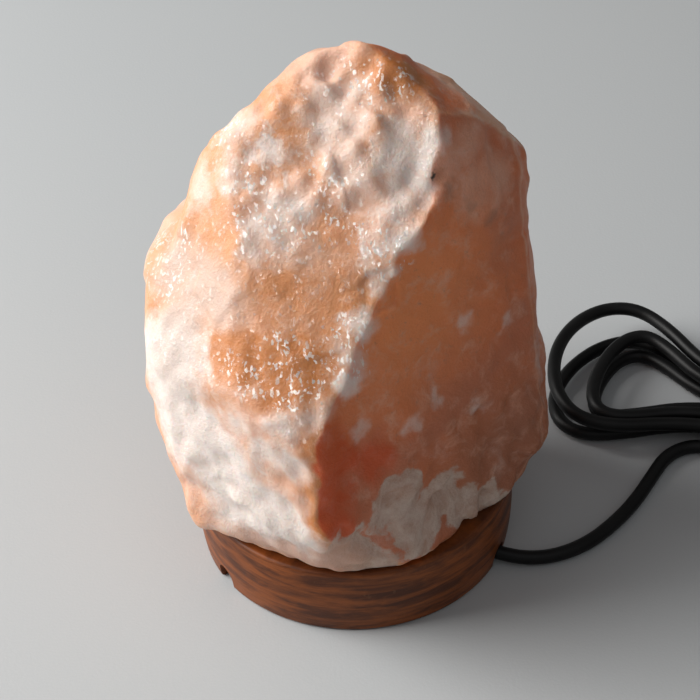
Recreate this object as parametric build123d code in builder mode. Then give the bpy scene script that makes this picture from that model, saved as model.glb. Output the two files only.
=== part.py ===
"""Salt crystal lamp: a hewn block of rock salt on a turned wooden base, lit by a small
bulb in a clip-in holder, with a switched mains lead.

Millimetres.  The origin is the centre of the base where it stands on the table, +Z is
up, and the lead leaves the base towards +X, a little to the front (-Y).
"""

import os
from math import acos, cos, dist, pi, radians, sin, sqrt, tan

from build123d import *

os.makedirs("parts", exist_ok=True)

# ---------------------------------------------------------------- driving dimensions

# clearances
slip = 0.3  # between pieces that slide past each other
hinge_play = 0.05  # radial, of a pin in its hole

# wooden base
base_height = 29.0
foot_radius = 57.5
belly_radius = 58.8
shoulder_radius = 57.8
edge_round = 1.6
recess_depth = 14.0  # hollow underside, as deep as the holder's cap and flange
recess_radius = 38.0
bore_radius = 18.0  # takes the bulb holder
notch_count = 3
notch_width = 8.4
notch_height = 8.8
lead_azimuth = -26.5  # degrees, direction in which the lead leaves the base

# rock salt
heart_above_base = 81.0  # the point that the facets are measured from
chamber_radius = 24.0  # drilled up from below, round the bulb
chamber_depth = 83.0

# screws that hold the rock to the base
rock_screw_count = 3
rock_screw_circle = 30.5
rock_screw_radius = 2.0
rock_screw_head_radius = 4.0
rock_screw_bite = 22.0  # length in the wall plug
plug_sleeve_radius = 4.0
plug_sleeve_length = 27.0
cross_slot_width = 1.0
cross_slot_depth = 1.6

# bulb holder
holder_foot_gap = 1.0  # holder's underside above the table
cap_radius = 17.0
cap_floor = 1.8
cap_wall = 2.0
flange_radius = 23.0
flange_thickness = 2.5
sleeve_radius = 13.5
sleeve_wall = 2.3
sleeve_top = 52.0
block_bottom = 22.0
block_thickness = 9.0
shell_radius = 7.7
shell_wall = 0.5
shell_height = 16.0
tongue_radius = 2.6
tongue_height = 2.2
terminal_radius = 2.2
terminal_length = 4.6
terminal_spread = 6.0
terminal_screw_radius = 1.1
terminal_screw_head = 1.5
terminal_screw_height = 3.0
clip_width = 8.0
clip_thickness = 0.6
clip_spring = 3.0  # how far a clip stands out from the sleeve
clip_height = 26.0
clip_fold = 1.3  # width of the fold at a clip's top
clip_toe = 1.2  # gap of the free leg's toe
clip_toe_rise = 2.0

# bulb, E14 cap
bulb_button_height = 1.6
bulb_button_radius = 2.4
insulator_height = 3.2
insulator_lip = 1.0  # how far it reaches up into the cap
thread_radius = 6.8
bulb_cap_wall = 0.35
bulb_cap_length = 15.0
neck_radius = 6.2
glass_radius = 13.0
glass_wall = 0.7
glass_neck_height = 7.0  # straight neck above the cap
glass_bulge_height = 19.0  # widest place, above the neck
glass_in_cap = 5.0  # how far the neck reaches down into the cap
stem_radius = 2.6
stem_height = 19.0
stem_flare_bottom = 1.5
stem_flare_top = 5.0
support_straight = 1.0  # upright start of a filament support
support_rise = 6.0
filament_wire = 0.3
filament_spread = 4.0

# mains lead
cord_diameter = 5.4
cord_straight = 9.0  # straight run where a stretch meets the next piece
exit_straight = 10.0
plug_straight = 12.5
wire_radius = 1.0
wire_spread = 1.3  # cores either side of the lead's middle
wire_bend = 2.0
wire_rise = 6.0  # before a core turns up into its terminal
lead_height = 5.6  # where it leaves the holder
relief_length = 20.0
relief_root_radius = 4.6
relief_tip_radius = 3.5

# hank of the spare lead, tied at its waist
hank_centre = (150.0, 46.0)
hank_azimuth = 153.0  # long axis, pointing back to the lamp
hank_half_length = 72.0
hank_length_step = 7.0  # shorter by this much each loop inwards
hank_lobe = 64.0
hank_lobe_step = 16.0
hank_waist = 15.2
hank_waist_step = 6.9
hank_pinch = 5  # how suddenly the lobes narrow to the waist
hank_loops = 4
arcs_per_loop = 12
layer_gap = 0.6
tie_thickness = 1.0
tie_width = 5.0

# switch on the lead
switch_centre = (174.7, -73.0)
switch_length = 62.0
switch_width = 26.0
switch_height = 17.0
switch_wall = 2.0
switch_cord_height = 6.0  # also where the two halves part
rocker_length = 14.8
rocker_width = 9.0
rocker_pivot_height = 14.2
rocker_pin_radius = 1.2
rocker_tilt = 9.0  # degrees either side of level
rocker_swing = 1.4  # room for the rocker's ends in the window
rocker_top = 4.2  # heights from the pivot
rocker_dip = 3.3
rocker_shoulder = 1.4
rocker_belly = -2.6
rocker_belly_reach = 3.2
lug_thickness = 2.2
contact_tilt = 8.0
contact_length = 16.0
contact_width = 4.0
contact_thickness = 0.5
contact_tip_inset = 1.4
contact_tip_radius = 1.0
contact_tip_height = 0.5
contact_pivot_height = 7.3
plunger_radius = 1.2
plunger_reach = 6.3
clamp_place = 24.0
cord_past_clamp = 3.0
switch_screw_place = (14.0, 7.5)
switch_screw_radius = 1.2
switch_screw_head = 2.7
switch_screw_head_depth = 1.6
switch_screw_sink = 0.2  # head below the switch's underside
wire_straight = 4.5  # core's way out of the sheath before it spreads
wire_drop = 5.5  # length over which it spreads

# mains plug, two round pins
plug_place = (234.7, -86.0)
plug_length = 30.0
plug_width = 35.0
plug_tail_width = 15.0
plug_thickness = 13.7
plug_relief_length = 26.0
plug_relief_root = 5.2
pin_spacing = 18.6
pin_length = 19.0
pin_radius = 2.0
pin_core_radius = 1.4
pin_sleeve_length = 10.0
pin_root = 8.0
pin_tip_round = 1.4
plug_shoulder = 0.55  # share of the length at which it is full width
plug_corner = 2.5
plug_edge = 1.5
rib_count = 5
rib_depth = 0.2

# ------------------------------------------------------------------- derived places

cord_radius = cord_diameter / 2
web_thickness = base_height - recess_depth  # wood left over the hollow underside
heart = Vector(0, 0, base_height + heart_above_base)
holder_top_of_cap = recess_depth - slip - flange_thickness
sleeve_bore = sleeve_radius - sleeve_wall
shell_bottom = block_bottom + block_thickness
bulb_bottom = shell_bottom + tongue_height + slip
insulator_bottom = bulb_bottom + bulb_button_height
bulb_cap_bottom = insulator_bottom + insulator_height
bulb_cap_top = bulb_cap_bottom + bulb_cap_length
cap_bore_radius = thread_radius - bulb_cap_wall
switch_join = switch_cord_height
plug_axis_height = plug_thickness / 2


def finish(builder, label):
    """Label a finished piece and write it out."""
    builder.part.label = label
    export_step(builder.part, f"parts/{label}.step")


def direction(azimuth, elevation=0.0):
    """Unit vector at an azimuth from +X and an elevation, both in degrees."""
    level = cos(radians(elevation))
    return Vector(
        level * cos(radians(azimuth)),
        level * sin(radians(azimuth)),
        sin(radians(elevation)),
    )


def radial_plane(azimuth):
    """Upright plane through the lamp's axis, with its x outwards and its y up."""
    return Plane(origin=(0, 0, 0), x_dir=direction(azimuth), z_dir=direction(azimuth - 90))


def turned(label, profile):
    """A round piece about the lamp's axis, from its (radius, height) corners."""
    with BuildPart() as piece:
        with BuildSketch(Plane.XZ):
            with BuildLine():
                Polyline(*profile, close=True)
            make_face()
        revolve(axis=Axis.Z)
    finish(piece, label)


# ---------------------------------------------------------------------- wooden base

with BuildPart() as wooden_base:
    with BuildSketch(Plane.XZ) as base_profile:
        with BuildLine():
            Line((bore_radius, base_height), (shoulder_radius, base_height))
            ThreePointArc(
                (shoulder_radius, base_height),
                (belly_radius, base_height / 2),
                (foot_radius, 0),
            )
            Polyline(
                (foot_radius, 0),
                (recess_radius, 0),
                (recess_radius, recess_depth),
                (bore_radius, recess_depth),
                (bore_radius, base_height),
            )
        make_face()
        outer_corners = base_profile.vertices().filter_by(
            lambda corner: (corner.X ** 2 + corner.Y ** 2) ** 0.5 > recess_radius + edge_round
        )
        fillet(outer_corners, radius=edge_round)
    revolve(axis=Axis.Z)
    notch_reach = belly_radius - recess_radius + 2 * edge_round
    notch_arch = notch_width / 2
    with PolarLocations(
        recess_radius - edge_round, notch_count, start_angle=lead_azimuth
    ):
        Box(
            notch_reach,
            notch_width,
            notch_height - notch_arch,
            align=(Align.MIN, Align.CENTER, Align.MIN),
            mode=Mode.SUBTRACT,
        )
        with Locations((0, 0, notch_height - notch_arch)):
            Cylinder(
                notch_arch,
                notch_reach,
                rotation=(0, 90, 0),
                align=(Align.CENTER, Align.CENTER, Align.MIN),
                mode=Mode.SUBTRACT,
            )
    rock_screw_azimuth = lead_azimuth + 180 / notch_count
    with Locations(Plane.XY.offset(recess_depth)):
        with PolarLocations(rock_screw_circle, rock_screw_count, start_angle=rock_screw_azimuth):
            Cone(
                rock_screw_head_radius,
                rock_screw_radius,
                rock_screw_head_radius - rock_screw_radius,
                align=(Align.CENTER, Align.CENTER, Align.MIN),
                mode=Mode.SUBTRACT,
            )
            Cylinder(
                rock_screw_radius,
                web_thickness,
                align=(Align.CENTER, Align.CENTER, Align.MIN),
                mode=Mode.SUBTRACT,
            )
finish(wooden_base, "wooden_base")

with BuildPart() as base_screws:
    with Locations(Plane.XY.offset(recess_depth)):
        with PolarLocations(rock_screw_circle, rock_screw_count, start_angle=rock_screw_azimuth):
            Cone(
                rock_screw_head_radius,
                rock_screw_radius,
                rock_screw_head_radius - rock_screw_radius,
                align=(Align.CENTER, Align.CENTER, Align.MIN),
            )
            Cylinder(
                rock_screw_radius,
                web_thickness + rock_screw_bite,
                align=(Align.CENTER, Align.CENTER, Align.MIN),
            )
            for slot_turn in (0, 90):
                Box(
                    rock_screw_head_radius,
                    cross_slot_width,
                    cross_slot_depth,
                    rotation=(0, 0, slot_turn),
                    align=(Align.CENTER, Align.CENTER, Align.MIN),
                    mode=Mode.SUBTRACT,
                )
finish(base_screws, "base_screws")

with BuildPart() as wall_plugs:
    with Locations(Plane.XY.offset(base_height)):
        with PolarLocations(rock_screw_circle, rock_screw_count, start_angle=rock_screw_azimuth):
            Cylinder(
                plug_sleeve_radius,
                plug_sleeve_length,
                align=(Align.CENTER, Align.CENTER, Align.MIN),
            )
            Cylinder(
                rock_screw_radius,
                rock_screw_bite,
                align=(Align.CENTER, Align.CENTER, Align.MIN),
                mode=Mode.SUBTRACT,
            )
finish(wall_plugs, "wall_plugs")

# ------------------------------------------------------------------------ rock salt

# Each hewn facet is (azimuth, elevation) of its outward normal and its distance from
# the rock's heart.
right_facets = [(-6, 6, 63), (28, 3, 64), (0, 54, 85), (-15, -26, 90)]
front_right_facets = [(-54, 8, 42), (-41, 19, 53.5), (-48, -30, 87)]
crown_facets = [(15, 46, 82), (176, 56, 77), (-170, 40, 73), (-135, 46, 65), (95, 60, 85)]
front_left_facets = [(-101, 35, 46), (-142, 26, 55), (-128, 0, 62), (-118, -26, 84), (-85, -22, 83)]
left_facets = [(-155, 6, 67), (178, 2, 69), (-165, -12, 78), (180, -28, 89), (-150, -26, 93)]
back_facets = [
    (90, 6, 63),
    (60, 4, 62),
    (122, 8, 59),
    (150, 6, 66),
    (85, 34, 61),
    (40, 32, 74),
    (135, 30, 61),
    (90, -24, 84),
    (45, -26, 85),
    (140, -24, 84),
]
# The two that meet in a hollow, so that a ledge stands out on the left.
above_ledge = (172, 20, 62)
ledge_top = (-178, 54, 51.5)


def facet_plane(azimuth, elevation, distance):
    """Plane of a facet, facing away from the rock's heart."""
    normal = direction(azimuth, elevation)
    return Plane(origin=heart + normal * distance, z_dir=normal)


with BuildPart() as hewn_block:
    with Locations(Plane.XY.offset(base_height)):
        Box(
            4 * foot_radius,
            4 * foot_radius,
            4 * foot_radius,
            align=(Align.CENTER, Align.CENTER, Align.MIN),
        )
    for facet in (
        right_facets
        + front_right_facets
        + crown_facets
        + front_left_facets
        + left_facets
        + back_facets
    ):
        split(bisect_by=facet_plane(*facet), keep=Keep.BOTTOM)

with BuildPart() as ledge_block:
    add(hewn_block.part)
    split(bisect_by=facet_plane(*ledge_top), keep=Keep.BOTTOM)

with BuildPart() as salt_crystal:
    add(hewn_block.part)
    split(bisect_by=facet_plane(*above_ledge), keep=Keep.BOTTOM)
    add(ledge_block.part)
    with Locations(Plane.XY.offset(base_height)):
        Cylinder(
            chamber_radius,
            chamber_depth,
            align=(Align.CENTER, Align.CENTER, Align.MIN),
            mode=Mode.SUBTRACT,
        )
        with PolarLocations(rock_screw_circle, rock_screw_count, start_angle=rock_screw_azimuth):
            Cylinder(
                plug_sleeve_radius,
                plug_sleeve_length,
                align=(Align.CENTER, Align.CENTER, Align.MIN),
                mode=Mode.SUBTRACT,
            )
finish(salt_crystal, "salt_crystal")

# ---------------------------------------------------------------------- bulb holder

turned(
    "holder_body",
    [
        (sleeve_bore, holder_top_of_cap),
        (flange_radius, holder_top_of_cap),
        (flange_radius, holder_top_of_cap + flange_thickness),
        (sleeve_radius, holder_top_of_cap + flange_thickness),
        (sleeve_radius, sleeve_top - sleeve_wall / 2),
        (sleeve_radius - sleeve_wall / 3, sleeve_top),
        (sleeve_bore, sleeve_top),
    ],
)

lead_plane = radial_plane(lead_azimuth)
across_lead = direction(lead_azimuth + 90)


def lead_point(outwards, sideways, height):
    """A point by its distance along and across the lead's way out."""
    return direction(lead_azimuth) * outwards + across_lead * sideways + Vector(0, 0, height)


def lead_section(outwards):
    """Plane square to the lead where it leaves the holder."""
    return Plane(origin=lead_point(outwards, 0, lead_height), z_dir=direction(lead_azimuth))


clamp_outwards = 7.6
clamp_post_spread = 5.0
clamp_post_radius = 2.0
clamp_bar_thickness = 2.2
clamp_screw_radius = 1.1
clamp_screw_head = 1.9
clamp_bar_bottom = lead_height + cord_radius
cap_floor_top = holder_foot_gap + cap_floor

with BuildPart() as holder_cap:
    with BuildSketch(Plane.XY.offset(holder_foot_gap)):
        Circle(cap_radius)
    extrude(amount=holder_top_of_cap - holder_foot_gap)
    with BuildSketch(Plane.XY.offset(cap_floor_top)):
        Circle(cap_radius - cap_wall)
    extrude(amount=holder_top_of_cap - cap_floor_top, mode=Mode.SUBTRACT)
    fillet(holder_cap.edges().group_by(Axis.Z)[0], radius=cap_floor / 2)
    for side in (-1, 1):
        with Locations(Plane(origin=lead_point(clamp_outwards, side * clamp_post_spread, cap_floor_top))):
            Cylinder(
                clamp_post_radius,
                clamp_bar_bottom - cap_floor_top,
                align=(Align.CENTER, Align.CENTER, Align.MIN),
            )
            Cylinder(
                clamp_screw_radius,
                clamp_bar_bottom - cap_floor_top,
                align=(Align.CENTER, Align.CENTER, Align.MIN),
                mode=Mode.SUBTRACT,
            )
    with BuildSketch(lead_section(cap_radius - 2 * cap_wall)):
        Circle(relief_tip_radius)
    extrude(amount=3 * cap_wall, mode=Mode.SUBTRACT)
finish(holder_cap, "holder_cap")

relief_start = cap_radius - cap_wall - 2 * slip
with BuildPart() as cord_relief:
    with BuildSketch(lead_section(relief_start)):
        Circle(relief_tip_radius)
    extrude(amount=cap_radius - relief_start)
    with BuildSketch(lead_section(cap_radius)):
        Circle(relief_root_radius)
    with BuildSketch(lead_section(cap_radius + relief_length)):
        Circle(relief_tip_radius)
    loft()
    with BuildSketch(lead_section(relief_start)):
        Circle(cord_radius)
    extrude(amount=2 * relief_length, mode=Mode.SUBTRACT)
finish(cord_relief, "cord_relief")

with BuildPart() as cord_clamp:
    with BuildSketch(
        Plane(
            origin=lead_point(clamp_outwards, 0, clamp_bar_bottom),
            x_dir=direction(lead_azimuth),
            z_dir=(0, 0, 1),
        )
    ):
        SlotOverall(
            2 * (clamp_post_spread + clamp_post_radius), 2 * clamp_post_radius, rotation=90
        )
        with Locations((0, clamp_post_spread), (0, -clamp_post_spread)):
            Circle(clamp_screw_radius, mode=Mode.SUBTRACT)
    extrude(amount=clamp_bar_thickness)
finish(cord_clamp, "cord_clamp")

with BuildPart() as clamp_screws:
    for side in (-1, 1):
        clamp_top = lead_point(
            clamp_outwards, side * clamp_post_spread, clamp_bar_bottom + clamp_bar_thickness
        )
        with Locations(Plane(origin=clamp_top)):
            Cylinder(
                clamp_screw_head,
                clamp_screw_radius,
                align=(Align.CENTER, Align.CENTER, Align.MIN),
            )
            Cylinder(
                clamp_screw_radius,
                clamp_bar_thickness + clamp_bar_bottom - cap_floor_top,
                align=(Align.CENTER, Align.CENTER, Align.MAX),
            )
finish(clamp_screws, "clamp_screws")

# insulating block with the lamp's contacts
with BuildPart() as contact_block:
    with BuildSketch(Plane.XY.offset(block_bottom)):
        Circle(sleeve_bore)
    extrude(amount=block_thickness)
finish(contact_block, "contact_block")

turned(
    "screw_shell",
    [
        (tongue_radius + 2 * shell_wall, shell_bottom),
        (shell_radius, shell_bottom),
        (shell_radius, shell_bottom + shell_height),
        (shell_radius - shell_wall, shell_bottom + shell_height),
        (shell_radius - shell_wall, shell_bottom + shell_wall),
        (tongue_radius + 2 * shell_wall, shell_bottom + shell_wall),
    ],
)

with BuildPart() as centre_contact:
    with Locations(Plane.XY.offset(shell_bottom)):
        Cylinder(
            tongue_radius,
            tongue_height,
            align=(Align.CENTER, Align.CENTER, Align.MIN),
        )
    fillet(centre_contact.edges().group_by(Axis.Z)[-1], radius=tongue_height / 2)
finish(centre_contact, "centre_contact")

terminal_inwards = -2.5
wire_depth = 1.8  # how far a bared core reaches up into its terminal
terminal_bottom = block_bottom - terminal_length


def terminal_screw_plane(side):
    """Plane square to the screw in one terminal's side, at the terminal's middle."""
    screw_height = terminal_bottom + terminal_screw_height
    middle = lead_point(terminal_inwards, side * terminal_spread, screw_height)
    return Plane(origin=middle, z_dir=direction(lead_azimuth))


with BuildPart() as holder_terminals:
    for side in (-1, 1):
        terminal_foot = lead_point(terminal_inwards, side * terminal_spread, terminal_bottom)
        with Locations(Plane(origin=terminal_foot)):
            Cylinder(
                terminal_radius,
                terminal_length,
                align=(Align.CENTER, Align.CENTER, Align.MIN),
            )
            Cylinder(
                wire_radius,
                wire_depth,
                align=(Align.CENTER, Align.CENTER, Align.MIN),
                mode=Mode.SUBTRACT,
            )
        with BuildSketch(terminal_screw_plane(side)):
            Circle(terminal_screw_radius)
        extrude(amount=2 * terminal_radius, mode=Mode.SUBTRACT)
finish(holder_terminals, "holder_terminals")

with BuildPart() as terminal_screws:
    for side in (-1, 1):
        with BuildSketch(terminal_screw_plane(side)):
            Circle(terminal_screw_radius)
        extrude(amount=terminal_radius)
        with BuildSketch(terminal_screw_plane(side).offset(terminal_radius)):
            Circle(terminal_screw_head)
        extrude(amount=terminal_screw_radius)
finish(terminal_screws, "terminal_screws")

clip_root = holder_top_of_cap + flange_thickness
with BuildPart() as spring_clips:
    for side in (-1, 1):
        clip_plane = radial_plane(lead_azimuth + side * 90)
        fixed_leg = sleeve_radius + clip_thickness / 2
        with BuildSketch(clip_plane) as clip_side:
            with BuildLine():
                FilletPolyline(
                    (fixed_leg, clip_root),
                    (fixed_leg, clip_root + clip_height),
                    (fixed_leg + clip_fold, clip_root + clip_height),
                    (fixed_leg + clip_spring, clip_root + clip_height / 2),
                    (fixed_leg + clip_toe, clip_root + clip_toe_rise),
                    radius=clip_thickness,
                )
            trace(line_width=clip_thickness)
        extrude(amount=clip_width / 2, both=True)
finish(spring_clips, "spring_clips")

# ----------------------------------------------------------------------------- bulb

with BuildPart() as bulb_contact:
    with Locations(Plane.XY.offset(bulb_bottom)):
        Cylinder(
            bulb_button_radius,
            bulb_button_height,
            align=(Align.CENTER, Align.CENTER, Align.MIN),
        )
    fillet(bulb_contact.edges().group_by(Axis.Z)[0], radius=bulb_button_height / 2)
finish(bulb_contact, "bulb_contact")

turned(
    "bulb_insulator",
    [
        (0, insulator_bottom),
        (bulb_button_radius, insulator_bottom),
        (cap_bore_radius, bulb_cap_bottom - bulb_cap_wall),
        (cap_bore_radius, bulb_cap_bottom + insulator_lip),
        (0, bulb_cap_bottom + insulator_lip),
    ],
)

turned(
    "bulb_cap",
    [
        (cap_bore_radius, bulb_cap_bottom - bulb_cap_wall),
        (thread_radius, bulb_cap_bottom + bulb_cap_wall),
        (thread_radius, bulb_cap_top),
        (cap_bore_radius, bulb_cap_top),
    ],
)

neck_bottom = bulb_cap_top - glass_in_cap
bulge_height = bulb_cap_top + glass_neck_height + glass_bulge_height
with BuildPart() as bulb_glass:
    with BuildSketch(Plane.XZ):
        with BuildLine() as glass_outline:
            neck = Line((neck_radius, neck_bottom), (neck_radius, bulb_cap_top + glass_neck_height))
            Spline(
                neck @ 1,
                (glass_radius, bulge_height),
                tangents=((0, 1), (0, 1)),
            )
            ThreePointArc(
                (glass_radius, bulge_height),
                (
                    glass_radius * cos(radians(45)),
                    bulge_height + glass_radius * sin(radians(45)),
                ),
                (0, bulge_height + glass_radius),
            )
            Line((0, bulge_height + glass_radius), (0, neck_bottom))
            Line((0, neck_bottom), neck @ 0)
        make_face()
    revolve(axis=Axis.Z)
    offset(
        amount=-glass_wall,
        openings=bulb_glass.faces().filter_by(GeomType.PLANE).sort_by(Axis.Z)[0],
    )
finish(bulb_glass, "bulb_glass")

glass_bore_radius = neck_radius - glass_wall
stem_top = neck_bottom + stem_height
turned(
    "glass_stem",
    [
        (0, neck_bottom),
        (glass_bore_radius, neck_bottom),
        (glass_bore_radius, neck_bottom + stem_flare_bottom),
        (stem_radius, neck_bottom + stem_flare_top),
        (stem_radius, neck_bottom + stem_height),
        (0, stem_top),
    ],
)

support_height = stem_top + support_rise
with BuildPart() as filament_supports:
    for side in (-1, 1):
        with BuildLine():
            support = Polyline(
                (side * (stem_radius - 2 * filament_wire), 0, stem_top),
                (side * (stem_radius - 2 * filament_wire), 0, stem_top + support_straight),
                (side * filament_spread, 0, support_height),
            )
        with BuildSketch(Plane(origin=support @ 0, z_dir=(0, 0, 1))):
            Circle(filament_wire)
        sweep(path=support, transition=Transition.RIGHT)
finish(filament_supports, "filament_supports")

with BuildPart() as filament:
    with BuildLine():
        glow = ThreePointArc(
            (-filament_spread, 0, support_height + filament_wire),
            (0, 0, support_height + filament_spread),
            (filament_spread, 0, support_height + filament_wire),
        )
    with BuildSketch(Plane(origin=glow @ 0, z_dir=glow % 0)):
        Circle(filament_wire / 2)
    sweep(path=glow)
finish(filament, "filament")

# ----------------------------------------------------------------- tubes along a route


corner_share = 0.45  # of the shorter run that an arc may take up


def corner_radii(points):
    """An arc as large as its two runs allow at each corner of a route."""
    radii = []
    for before, corner, after in zip(points, points[1:], points[2:]):
        inwards = corner - before
        outwards = after - corner
        half_turn = radians(inwards.get_angle(outwards)) / 2
        radii.append(corner_share * min(inwards.length, outwards.length) / tan(half_turn))
    return radii


def tube(label, points, radius):
    """A round tube along straight runs that are joined by tangent arcs."""
    radii = corner_radii(points)
    with BuildPart() as piece:
        with BuildLine() as route:
            FilletPolyline(*points, radius=radii)
        middle = route.wire()
        with BuildSketch(Plane(origin=middle @ 0, z_dir=middle % 0)):
            Circle(radius)
        sweep(path=middle)
    finish(piece, label)
    swept = pi * radius**2 * middle.length
    print(f"{label}: length {middle.length:.1f}, volume/section {piece.part.volume / swept:.4f}")
    print(f"  radii {[round(value, 1) for value in radii]}")
    return middle.length


def wire_tube(label, routes, radius, bend):
    """Bare cores, one solid for each route."""
    with BuildPart() as piece:
        for points in routes:
            with BuildLine() as route:
                FilletPolyline(*points, radius=bend)
            middle = route.wire()
            with BuildSketch(Plane(origin=middle @ 0, z_dir=middle % 0)):
                Circle(radius)
            sweep(path=middle)
    finish(piece, label)


cord_inner_end = 5.0
with BuildPart() as cord_in_holder:
    with BuildSketch(lead_section(cord_inner_end)):
        Circle(cord_radius)
    extrude(amount=cap_radius + relief_length - cord_inner_end)
finish(cord_in_holder, "cord_in_holder")

for core_label, side in (("live_wire", 1), ("neutral_wire", -1)):
    core_route = [
        lead_point(cord_inner_end, side * wire_spread, lead_height),
        lead_point(0, side * wire_spread, lead_height),
        lead_point(terminal_inwards, side * terminal_spread, lead_height + wire_rise),
        lead_point(terminal_inwards, side * terminal_spread, terminal_bottom + wire_depth),
    ]
    wire_tube(core_label, [core_route], wire_radius, wire_bend)

# --------------------------------------------------------------------------- the hank

loop_height = cord_radius + tie_thickness
layer_step = cord_diameter + layer_gap
along_hank = direction(hank_azimuth)
across_hank = direction(hank_azimuth + 90)


def hank_point(loops):
    """Where the lead lies after so many loops, counted from the front of the waist.

    The loops spiral inwards on the table and outwards again one layer up.
    """
    depth = min(loops, hank_loops - loops)
    lobe = hank_lobe - hank_lobe_step * depth
    waist = hank_waist - hank_waist_step * depth
    phase = 2 * pi * loops + pi / 2
    lengthwise = (hank_half_length - hank_length_step * depth * cos(phase) ** 2) * cos(phase)
    sideways = sin(phase) * (lobe - (lobe - waist) * abs(sin(phase)) ** hank_pinch)
    climb = min(max((loops - hank_loops / 2 + 0.25) / 0.5, 0), 1)
    rise = layer_step * climb * climb * (3 - 2 * climb)
    return (
        Vector(hank_centre[0], hank_centre[1], loop_height + rise)
        + along_hank * lengthwise
        + across_hank * sideways
    )


def hank_direction(loops):
    """Unit vector along the lead there."""
    step = 1e-4
    return (hank_point(loops + step) - hank_point(loops - step)).normalized()


def arc_middle(start, corner, end):
    """Middle of the arc that touches start-corner and corner-end at its two ends."""
    chord_middle = (start + end) * 0.5
    half_turn = acos(min(1, (end - start).length / 2 / (corner - start).length))
    return chord_middle + (corner - chord_middle) * (cos(half_turn) / (1 + cos(half_turn)))


def biarc(start, start_way, end, end_way):
    """Two arcs that join two points and keep the direction at each of them."""
    span = end - start
    ways = start_way + end_way
    spread = 2 * (1 - start_way.dot(end_way))
    reach = (sqrt(span.dot(ways) ** 2 + spread * span.dot(span)) - span.dot(ways)) / spread
    first_corner = start + start_way * reach
    second_corner = end - end_way * reach
    joint = (first_corner + second_corner) * 0.5
    ThreePointArc(start, arc_middle(start, first_corner, joint), joint)
    ThreePointArc(joint, arc_middle(joint, second_corner, end), end)


knots = [knot / arcs_per_loop for knot in range(1, hank_loops * arcs_per_loop + 2)]
hank_start = knots[0]
hank_end = knots[-1]
hank_inlet_way = hank_direction(hank_start)
hank_outlet_way = hank_direction(hank_end)
hank_inlet = hank_point(hank_start) - hank_inlet_way * cord_diameter
hank_outlet = hank_point(hank_end) + hank_outlet_way * cord_diameter

with BuildPart() as cord_hank:
    with BuildLine() as hank_route:
        Line(hank_inlet, hank_point(hank_start))
        for here, there in zip(knots, knots[1:]):
            biarc(hank_point(here), hank_direction(here), hank_point(there), hank_direction(there))
        Line(hank_point(hank_end), hank_outlet)
    with BuildSketch(Plane(origin=hank_inlet, z_dir=hank_inlet_way)):
        Circle(cord_radius)
    sweep(path=hank_route.line)
finish(cord_hank, "cord_hank")


def least_gap(wire, samples):
    """Least distance between the surfaces of a tube's turns, measured on points."""
    step = wire.length / samples
    places = [tuple(wire.position_at(index / samples)) for index in range(samples + 1)]
    skipped = int(4 * cord_diameter / step) + 1
    return min(
        dist(places[first], places[second])
        for first in range(len(places))
        for second in range(first + skipped, len(places))
    ) - cord_diameter


gap_samples = 900
hank_wire = hank_route.wire()
hank_swept = pi * cord_radius**2 * hank_wire.length
hank_share = cord_hank.part.volume / hank_swept
tightest_bend = min(arc.radius for arc in hank_wire.edges().filter_by(GeomType.CIRCLE))
print(f"cord_hank: length {hank_wire.length:.1f}, volume/section {hank_share:.4f}")
print(f"  least gap {least_gap(hank_wire, gap_samples):.2f}, tightest {tightest_bend:.1f}")

tie_inner_width = 2 * hank_waist - hank_waist_step / 2 + cord_diameter + 2 * slip
tie_inner_height = layer_step + cord_diameter + slip
with BuildPart() as hank_tie:
    tie_middle = (
        Vector(hank_centre[0], hank_centre[1], tie_thickness + tie_inner_height / 2)
        + across_hank * (hank_waist_step / 4)
    )
    with BuildSketch(Plane(origin=tie_middle, x_dir=across_hank, z_dir=along_hank)):
        RectangleRounded(
            tie_inner_width + 2 * tie_thickness,
            tie_inner_height + 2 * tie_thickness,
            cord_radius,
        )
        RectangleRounded(
            tie_inner_width,
            tie_inner_height,
            cord_radius - tie_thickness,
            mode=Mode.SUBTRACT,
        )
    extrude(amount=tie_width / 2, both=True)
finish(hank_tie, "hank_tie")

# ---------------------------------------------------------------- lead from the base

relief_tip = cap_radius + relief_length
lead_route = [
    lead_point(relief_tip, 0, lead_height),
    lead_point(relief_tip + exit_straight, 0, lead_height),
    Vector(52.5, -26.1, 4.3),
    Vector(63.0, -28.0, 3.1),
    Vector(74.0, -26.6, 2.7),
    Vector(85.5, -21.2, 2.7),
    Vector(95.5, -12.5, 2.7),
    Vector(103.5, -1.9, 2.7),
    Vector(113.4, 13.9, 2.7),
    Vector(126.1, 21.5, 2.75),
    Vector(140.8, 22.5, 2.9),
    Vector(151.8, 17.9, 3.3),
    hank_inlet - hank_inlet_way * cord_straight,
    hank_inlet,
]
lead_length = tube("cord_lead", lead_route, cord_radius)

# --------------------------------------------------------------- switch on the lead

switch_way = Vector(0, -1, 0)
switch_frame = Plane(origin=(*switch_centre, 0), x_dir=switch_way, z_dir=(0, 0, 1))


def switch_point(along, across, height):
    """A point in the switch's own frame."""
    return switch_frame.from_local_coords(Vector(along, across, height))


cord_in_switch_from = clamp_place - cord_past_clamp
switch_inner_height = switch_height - switch_wall
switch_post_radius = 3.0
switch_clamp_spread = 5.2
switch_clamp_post = 1.8
switch_clamp_bar = 2.2

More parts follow.
